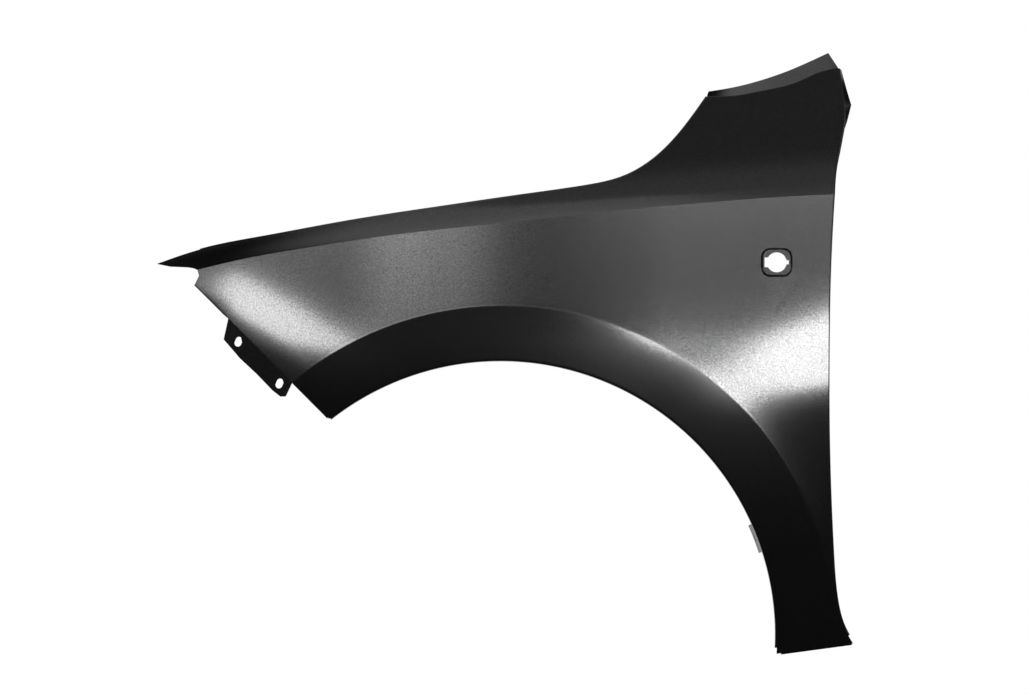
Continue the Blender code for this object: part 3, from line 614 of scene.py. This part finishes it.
def addPocket(bm, body, window, spots):
    # a rounded rim in the skin, a sloped wall and a flat floor, sunk inboard
    left, right, low, high = window
    loop = [body[low][i] for i in range(left, right)] + [body[j][right] for j in range(low, high)]
    loop += [body[high][i] for i in range(right, left, -1)] + [body[j][left] for j in range(high, low, -1)]
    x, z = place(shares["pocket"])
    y = skinDepth(x, z)
    leanX = (skinDepth(x + size["sheet"], z) - y) / size["sheet"]
    leanZ = (skinDepth(x, z + size["sheet"]) - y) / size["sheet"]
    length, height, corner = holes["pocketLength"], holes["pocketHeight"], holes["pocketCorner"]
    wall = holes["pocketWall"]
    rim = [bm.verts.new(skinPoint((x + dx, z + dz))) for dx, dz in roundedRectangle(length, height, corner)]
    floor = [
        bm.verts.new((x + dx, y + leanX * dx + leanZ * dz + holes["pocketDepth"], z + dz))
        for dx, dz in roundedRectangle(length - 2 * wall, height - 2 * wall, corner - wall)
    ]
    outer = [bm.edges.get((a, b)) for a, b in zip(loop, loop[1:] + loop[:1])]
    rimEdges = [bm.edges.new((a, b)) for a, b in zip(rim, rim[1:] + rim[:1])]
    floorEdges = [bm.edges.new((a, b)) for a, b in zip(floor, floor[1:] + floor[:1])]
    bmesh.ops.bridge_loops(bm, edges=outer + rimEdges)
    bmesh.ops.bridge_loops(bm, edges=rimEdges + floorEdges)
    bm.faces.new(floor)
    spots["key"] = [Vector((x, y + holes["pocketDepth"], z))]


def buildSheet():
    bm = bmesh.new()
    spots = {}
    cuts = grid["cuts"]
    sideRows = bodyRows()
    body = addRows(bm, sideRows)
    across = grid["crownColumns"] * cuts + 1
    crown = [body[-1][:across]] + addRows(bm, crownRows(sideRows[-1][:across])[1:])
    window = pocketWindow(body)
    hollow = {(i, j) for i in range(window[0], window[1]) for j in range(window[2], window[3])}
    joinRows(bm, body, hollow)
    joinRows(bm, crown)
    addPocket(bm, body, window, spots)
    archFlange(bm, body, spots)
    rearFlanges(bm, body, crown, spots)
    pillarFlange(bm, crown)
    bonnetFlange(bm, crown, spots)
    frontFlanges(bm, body, spots)
    foot = body[cuts:-cuts]
    rows = evenFold(bm, [row[-1] for row in foot], [row[-2] for row in foot], inboard, flange["foot"])
    half = (len(foot) - 1) // cuts // 2 * cuts
    spots["foot"] = [middle(rows[-1][half:half + cuts + 1], rows[-2][half:half + cuts + 1])]
    bmesh.ops.delete(bm, geom=[vert for vert in bm.verts if not vert.link_faces], context="VERTS")
    bmesh.ops.recalc_face_normals(bm, faces=bm.faces)
    if sum(face.normal.y * face.calc_area() for face in bm.faces) > 0:
        bmesh.ops.reverse_faces(bm, faces=bm.faces)
    return bm, spots


def addNode(tree, kind, links=None, **values):
    # one node, its sockets filled from values, settings and other nodes' outputs
    node = tree.nodes.new(kind)
    for name, value in values.items():
        if hasattr(node, name):
            setattr(node, name, value)
    for name, source in (links or {}).items():
        socket = node.inputs[name]
        if hasattr(source, "is_linked"):
            tree.links.new(source, socket)
        else:
            socket.default_value = source
    return node


def holeTree():
    # One round or slotted plug on every point, along the point's own axis. Plugs only cut, so their
    # material stays empty.
    tree = bpy.data.node_groups.new("holePunches", "GeometryNodeTree")
    tree.is_modifier = True
    face = tree.interface
    face.new_socket("Points", in_out="INPUT", socket_type="NodeSocketGeometry")
    for name, kind in (("Width", "Float"), ("Stretch", "Float"), ("Depth", "Float"), ("Sides", "Int"),
                       ("Material", "Material")):
        face.new_socket(name, in_out="INPUT", socket_type="NodeSocket" + kind)
    face.new_socket("Punches", in_out="OUTPUT", socket_type="NodeSocketGeometry")
    given = addNode(tree, "NodeGroupInput").outputs
    half = addNode(tree, "ShaderNodeMath", {0: given["Width"], 1: 0.5}, operation="MULTIPLY")
    plug = addNode(tree, "GeometryNodeMeshCylinder", {
        "Vertices": given["Sides"], "Radius": half.outputs[0], "Depth": given["Depth"]})
    spot = addNode(tree, "GeometryNodeInputPosition")
    parts = addNode(tree, "ShaderNodeSeparateXYZ", {0: spot.outputs[0]})
    sign = addNode(tree, "ShaderNodeMath", {0: parts.outputs[0]}, operation="SIGN")
    push = addNode(tree, "ShaderNodeMath", {0: sign.outputs[0], 1: given["Stretch"]}, operation="MULTIPLY")
    shift = addNode(tree, "ShaderNodeCombineXYZ", {0: push.outputs[0]})
    slot = addNode(tree, "GeometryNodeSetPosition", {
        "Geometry": plug.outputs[0], "Offset": shift.outputs[0]})
    axis = addNode(tree, "GeometryNodeInputNamedAttribute", {"Name": "axis"}, data_type="FLOAT_VECTOR")
    aim = addNode(tree, "FunctionNodeAlignRotationToVector", {"Vector": axis.outputs[0]}, axis="Z")
    copies = addNode(tree, "GeometryNodeInstanceOnPoints", {
        "Points": given["Points"], "Instance": slot.outputs[0], "Rotation": aim.outputs[0]})
    real = addNode(tree, "GeometryNodeRealizeInstances", {0: copies.outputs[0]})
    done = addNode(tree, "GeometryNodeSetMaterial", {0: real.outputs[0], "Material": given["Material"]})
    addNode(tree, "NodeGroupOutput", {0: done.outputs[0]})
    return tree


def meshFrom(thing, name):
    # the evaluated mesh as plain data, with the modifiers gone
    graph = bpy.context.evaluated_depsgraph_get()
    mesh = bpy.data.meshes.new_from_object(thing.evaluated_get(graph), depsgraph=graph)
    mesh.name = name
    return mesh


def punches(tree, group, name, spots, axes, width, length=0):
    mesh = bpy.data.meshes.new(name)
    mesh.from_pydata(spots, [], [])
    axisData = mesh.attributes.new("axis", "FLOAT_VECTOR", "POINT")
    for k, axis in enumerate(axes):
        axisData.data[k].vector = axis
    thing = bpy.data.objects.new(name, mesh)
    group.objects.link(thing)
    mod = thing.modifiers.new("Punch", "NODES")
    mod.node_group = tree
    values = {"Width": width, "Stretch": max(length - width, 0) / 2, "Depth": 2 * holes["overrun"],
              "Sides": holes["sides"]}
    for item in tree.interface.items_tree:
        if item.in_out == "INPUT" and item.name in values:
            mod[item.identifier] = values[item.name]
    group.objects.link(bpy.data.objects.new(name + "Solid", meshFrom(thing, name + "Solid")))
    bpy.data.objects.remove(thing, do_unlink=True)


def addBlock(group, name, low, high):
    bm = bmesh.new()
    bmesh.ops.create_cube(bm, size=1)
    for vert in bm.verts:
        vert.co = Vector([(a + b) / 2 + c * (b - a) for a, b, c in zip(low, high, vert.co)])
    mesh = bpy.data.meshes.new(name)
    bm.to_mesh(mesh)
    bm.free()
    thing = bpy.data.objects.new(name, mesh)
    group.objects.link(thing)


def addPunches(group, spots):
    tree = holeTree()
    up = Vector((-shelfLine()[1], 0, 1)).normalized()
    radial = [Vector((spot.x, 0, spot.z)).normalized() for spot in spots["liner"]]
    slot = holes["slotWidth"], holes["slotLength"]
    rearward = [Vector((1, 0, 0))] * len(spots["door"])
    punches(tree, group, "shelfPunch", spots["shelf"], [up] * len(spots["shelf"]), holes["bolt"])
    punches(tree, group, "doorPunch", spots["door"], rearward, holes["bolt"])
    punches(tree, group, "linerPunch", spots["liner"], radial, holes["liner"])
    punches(tree, group, "footPunch", spots["foot"], [Vector((0, 0, 1))], *slot)
    punches(tree, group, "keyPunch", spots["key"], [inboard], holes["key"])
    for k, spot in enumerate(spots["tab"]):
        addSlot(group, f"tabPunch{k + 1}", spot, slot)
    key = spots["key"][0]
    for name, sign in (("keyFront", -1), ("keyRear", 1)):
        reach, height = holes[name]
        ends = sorted((0, sign * reach))
        low = key + Vector((ends[0], -holes["overrun"], -height / 2))
        high = key + Vector((ends[1], holes["overrun"], height / 2))
        addBlock(group, name, low, high)


def addSlot(group, name, spot, slot):
    # the bumper slots lean with the tab, so each is turned in its own frame
    width, length = slot
    bm = bmesh.new()
    half = Matrix.Rotation(math.pi / holes["sides"], 4, "Z")
    bmesh.ops.create_cone(bm, cap_ends=True, segments=holes["sides"], radius1=width / 2, radius2=width / 2,
                          depth=2 * holes["overrun"], matrix=half)
    for vert in bm.verts:
        vert.co.x += math.copysign((length - width) / 2, vert.co.x)
    mesh = bpy.data.meshes.new(name)
    turn = inboard.to_track_quat("Z", "Y").to_matrix().to_4x4() @ Matrix.Rotation(holes["slotTurn"], 4, "Z")
    bm.transform(Matrix.Translation(spot) @ turn)
    bm.to_mesh(mesh)
    bm.free()
    group.objects.link(bpy.data.objects.new(name, mesh))


def toLinear(code):
    values = [int(code[k:k + 2], 16) / 255 for k in (1, 3, 5)]
    return [v / 12.92 if v <= 0.04045 else ((v + 0.055) / 1.055) ** 2.4 for v in values] + [1]


def newMaterial(name):
    material = bpy.data.materials.new(name)
    material.use_nodes = True
    tree = material.node_tree
    return material, tree, tree.nodes["Principled BSDF"]


def blackPrimer():
    # Cathodic dip primer on pressed steel: an epoxy film, satin black, baked smooth over the sheet.
    # The eye gets soft long highlights that break into a fine grain, and near black between them.
    # The film mirrors more or less from grain to grain round the plain level 0.5. The real grain is
    # some tenths of a millimetre, too fine to show, so it is drawn as coarse as 1.8 mm.
    look = dict(
        colour="#040405", roughness=0.155, ior=1.789, dull=0.30, bright=0.70,
        grain=0.0018, grainLift=0.000015,
    )
    material, tree, shader = newMaterial("satinBlackDipPrimer")
    shader.inputs["Base Color"].default_value = toLinear(look["colour"])
    shader.inputs["Roughness"].default_value = look["roughness"]
    shader.inputs["IOR"].default_value = look["ior"]
    where = addNode(tree, "ShaderNodeTexCoord")
    noise = addNode(tree, "ShaderNodeTexNoise", {
        "Vector": where.outputs["Object"], "Scale": 1 / look["grain"], "Detail": 0.0})
    mirror = addNode(tree, "ShaderNodeMapRange", {
        "Value": noise.outputs[0], "To Min": look["dull"], "To Max": look["bright"]})
    tree.links.new(mirror.outputs[0], shader.inputs["Specular IOR Level"])
    bump = addNode(tree, "ShaderNodeBump", {
        "Height": noise.outputs[0], "Distance": look["grainLift"], "Strength": 1.0})
    tree.links.new(bump.outputs[0], shader.inputs["Normal"])
    return material


def buildPanel():
    bm, spots = buildSheet()
    mesh = bpy.data.meshes.new("pressedPanel")
    bm.to_mesh(mesh)
    bm.free()
    panel = bpy.data.objects.new("pressedPanel", mesh)
    bpy.context.scene.collection.objects.link(panel)
    print("sheet drawn", len(mesh.polygons))
    group = bpy.data.collections.new("punches")
    bpy.context.scene.collection.children.link(group)
    addPunches(group, spots)
    wall = panel.modifiers.new("Sheet", "SOLIDIFY")
    wall.thickness = size["sheet"]
    wall.offset = -1
    wall.use_even_offset = True
    cut = panel.modifiers.new("Holes", "BOOLEAN")
    cut.operation = "DIFFERENCE"
    cut.solver = "EXACT"
    cut.operand_type = "COLLECTION"
    cut.collection = group
    solid = meshFrom(panel, "pressedPanel")
    panel.modifiers.clear()
    panel.data = solid
    for thing in list(group.objects):
        bpy.data.objects.remove(thing, do_unlink=True)
    bpy.data.collections.remove(group)
    solid.transform(Matrix.Translation(size["archCentre"]))
    solid.shade_smooth()
    solid.set_sharp_from_angle(angle=grid["sharpAngle"])
    solid.materials.clear()
    solid.materials.append(blackPrimer())
    print("panel punched", len(solid.polygons))
    return panel


panel = buildPanel()
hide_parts("fender_panel")
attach(panel, "root")


# Camera, floor and the world's even fill
studio = dict(
    cameraAim=(0.238128, -0.126962), cameraAway=24.0, cameraWidth=1.285, cameraReach=100, dimFill=0.5,
    floorSide=30.0, floorColour="#EDEDED", floorRoughness=0.9, floorGap=0.0004,
)


def onStage(name, corners, material):
    mesh = bpy.data.meshes.new(name)
    mesh.from_pydata(corners, [], [tuple(range(len(corners)))])
    mesh.materials.append(material)
    thing = bpy.data.objects.new(name, mesh)
    bpy.context.scene.collection.objects.link(thing)
    return thing


def paleFloor():
    # Matt studio floor sheet: a plain pale ground that carries the panel's shadow
    material, tree, shader = newMaterial("matFloorSheet")
    shader.inputs["Base Color"].default_value = toLinear(studio["floorColour"])
    shader.inputs["Roughness"].default_value = studio["floorRoughness"]
    half, z = studio["floorSide"] / 2, cadBox[0][2] - studio["floorGap"]
    onStage("floor", [(-half, -half, z), (half, -half, z), (half, half, z), (-half, half, z)], material)


def onlyReflected(thing):
    # the panel mirrors it, while the camera, soft light and shadows miss it
    thing.visible_camera = False
    thing.visible_diffuse = False
    thing.visible_shadow = False
    thing.visible_transmission = False


def glowMaterial(name):
    material = bpy.data.materials.new(name)
    material.use_nodes = True
    tree = material.node_tree
    tree.nodes.clear()
    glow = addNode(tree, "ShaderNodeEmission", {"Color": (1, 1, 1, 1)})
    addNode(tree, "ShaderNodeOutputMaterial", {"Surface": glow.outputs[0]})
    return material, tree, glow


def direction(azimuth, elevation):
    az, el = math.radians(azimuth), math.radians(elevation)
    return Vector((math.sin(az) * math.cos(el), -math.cos(az) * math.cos(el), math.sin(el)))


centre = Vector((studio["cameraAim"][0], 0, 0))  # middle of the set


# Softboxes: name, azimuth, elevation, width and height in degrees as the panel sees them, and level
lampAway = 8.0
lamps = (
    ("leftBox", -45.5, 11.5, 38, 14.6, 8.0),
    ("rightBox", 20.5, 13.2, 43, 15.4, 12.4),
)


def softbox(name, azimuth, elevation, wide, tall, level):
    lamp = bpy.data.lights.new(name, "AREA")
    lamp.shape = "RECTANGLE"
    lamp.size = 2 * lampAway * math.tan(math.radians(wide / 2))
    lamp.size_y = 2 * lampAway * math.tan(math.radians(tall / 2))
    lamp.energy = level * math.pi * lamp.size * lamp.size_y
    thing = bpy.data.objects.new(name, lamp)
    way = direction(azimuth, elevation)
    thing.location = centre + way * lampAway
    thing.rotation_euler = way.to_track_quat("Z", "Y").to_euler()
    thing.visible_camera = False
    bpy.context.scene.collection.objects.link(thing)


def ease(tree, source, span, low=0, high=1):
    # an even rise from low to high between two angles
    ends = [math.radians(angle) for angle in span]
    return addNode(tree, "ShaderNodeMapRange", {
        "Value": source, "From Min": ends[0], "From Max": ends[1], "To Min": low, "To Max": high},
        interpolation_type="SMOOTHSTEP").outputs[0]


def combine(tree, operation, first, *others):
    for other in others:
        first = addNode(tree, "ShaderNodeMath", {0: first, 1: other}, operation=operation).outputs[0]
    return first


# The shell's levels of light, and the degrees of elevation or azimuth between which its tone changes
shell = dict(
    away=10.0, step=5, lowest=-15, level=0.67, low=0.005, top=0.09, zenith=0.29, patch=4.5, leftGain=1.1,
    sideLoss=-0.95, horizon=(-3, 4), roof=(31, 44), crownRise=(45, 64), patchStart=(-44, -31),
    patchEnd=(-7, -21), patchTop=(34, 14), leftStart=(-34, -52), sides=(80, 100), sideTop=(60, 44),
    backs=(125, 150), backTop=(26, 12),
)


def greyShell():
    # A glowing shell all round the set, with its levels of light painted on: dark towards the ground, grey
    # at eye level with one paler patch and a paler left, dim at the sides and overhead. Only the panel sees
    # it, and mirrors it as the calm grey of its skin.
    turns = range(-180, 181, shell["step"])
    rises = range(shell["lowest"], 90, shell["step"])
    points = [direction(turn, rise) * shell["away"] for rise in rises for turn in turns]
    wide = len(turns)
    faces = [(j * wide + i, j * wide + i + 1, (j + 1) * wide + i + 1, (j + 1) * wide + i)
             for j in range(len(rises) - 1) for i in range(wide - 1)]
    faces.append(tuple((len(rises) - 1) * wide + i for i in range(wide)))
    # painted light: the shell glows, and its levels by direction stand in for a lit studio
    material, tree, glow = glowMaterial("greyShellPaintedLight")
    where = addNode(tree, "ShaderNodeTexCoord")
    parts = addNode(tree, "ShaderNodeSeparateXYZ", {0: where.outputs["Object"]}).outputs
    rise = addNode(tree, "ShaderNodeMath", {0: combine(tree, "DIVIDE", parts[2], shell["away"])},
                   operation="ARCSINE").outputs[0]
    turn = combine(tree, "ARCTAN2", parts[0], combine(tree, "MULTIPLY", parts[1], -1))
    aside = addNode(tree, "ShaderNodeMath", {0: turn}, operation="ABSOLUTE").outputs[0]
    byRise = combine(
        tree, "MULTIPLY", ease(tree, rise, shell["horizon"], shell["low"], shell["level"]),
        ease(tree, rise, shell["roof"], 1, shell["top"] / shell["level"]),
        ease(tree, rise, shell["crownRise"], 1, shell["zenith"] / shell["top"]))
    patch = combine(tree, "MULTIPLY", ease(tree, turn, shell["patchStart"], 0, shell["patch"]),
                    ease(tree, turn, shell["patchEnd"]))
    patch = combine(tree, "MULTIPLY", patch, ease(tree, rise, shell["patchTop"]))
    left = ease(tree, turn, shell["leftStart"], 1, 1 + shell["leftGain"])
    loss = combine(tree, "MULTIPLY", ease(tree, aside, shell["sides"], 0, shell["sideLoss"]),
                   ease(tree, rise, shell["sideTop"]))
    behind = combine(tree, "MULTIPLY", ease(tree, aside, shell["backs"]),
                     ease(tree, rise, shell["backTop"]))
    loss = combine(tree, "MULTIPLY", loss, combine(tree, "SUBTRACT", 1, behind))
    level = combine(tree, "MULTIPLY", byRise, combine(tree, "ADD", patch, left),
                    combine(tree, "ADD", loss, 1))
    tree.links.new(level, glow.inputs["Strength"])
    mesh = bpy.data.meshes.new("greyShell")
    mesh.from_pydata(points, [], faces)
    mesh.materials.append(material)
    thing = bpy.data.objects.new("greyShell", mesh)
    thing.location = centre
    bpy.context.scene.collection.objects.link(thing)
    onlyReflected(thing)


def lowFlag():
    # A dim glowing sheet on the floor in front, seen only in the panel, with painted shade: darkest close
    # to it
    shadeSheet = dict(side=10.0, behind=0.10, nearLevel=0.015, farLevel=0.06, nearest=0.5, farthest=2.2)
    # painted shade: a faint glow, lowest near the panel, stands in for the dark floor round it
    material, tree, glow = glowMaterial("dimSheetPaintedShade")
    where = addNode(tree, "ShaderNodeTexCoord")
    away = addNode(tree, "ShaderNodeVectorMath", {0: where.outputs["Object"]}, operation="LENGTH")
    level = addNode(tree, "ShaderNodeMapRange", {
        "Value": away.outputs["Value"], "From Min": shadeSheet["nearest"], "From Max": shadeSheet["farthest"],
        "To Min": shadeSheet["nearLevel"], "To Max": shadeSheet["farLevel"]}, interpolation_type="SMOOTHSTEP")
    tree.links.new(level.outputs[0], glow.inputs["Strength"])
    side, behind = shadeSheet["side"], shadeSheet["behind"]
    corners = [(-side, -side, 0), (side, -side, 0), (side, behind, 0), (-side, behind, 0)]
    flag = onStage("lowFlag", corners, material)
    flag.location = centre + Vector((0, 0, cadBox[0][2] - studio["floorGap"] / 2))
    onlyReflected(flag)


def lightStudio():
    for lamp in lamps:
        softbox(*lamp)
    greyShell()
    lowFlag()


def paleWorld():
    # White where the camera, a reflection or a see-through ray meets it, and a dim even fill elsewhere
    world = bpy.context.scene.world or bpy.data.worlds.new("studioWorld")
    bpy.context.scene.world = world
    world.use_nodes = True
    tree = world.node_tree
    tree.nodes.clear()
    path = addNode(tree, "ShaderNodeLightPath").outputs
    seen = combine(tree, "ADD", path["Is Camera Ray"], path["Is Glossy Ray"], path["Is Transmission Ray"])
    strength = addNode(tree, "ShaderNodeMapRange", {
        "Value": seen, "To Min": studio["dimFill"], "To Max": 1.0})
    glow = addNode(tree, "ShaderNodeBackground", {"Color": (1, 1, 1, 1), "Strength": strength.outputs[0]})
    addNode(tree, "ShaderNodeOutputWorld", {"Surface": glow.outputs[0]})


def levelCamera():
    # Level and without perspective, as the panel was photographed
    lens = bpy.data.cameras.new("camera")
    lens.type = "ORTHO"
    lens.ortho_scale = studio["cameraWidth"]
    lens.clip_end = studio["cameraReach"]
    camera = bpy.data.objects.new("camera", lens)
    camera.location = (studio["cameraAim"][0], -studio["cameraAway"], studio["cameraAim"][1])
    camera.rotation_euler = (math.pi / 2, 0, 0)
    bpy.context.scene.collection.objects.link(camera)
    bpy.context.scene.camera = camera


paleWorld()
paleFloor()
lightStudio()
levelCamera()
bpy.context.scene.view_settings.view_transform = "Standard"
print("studio lit")

bpy.context.view_layer.update()
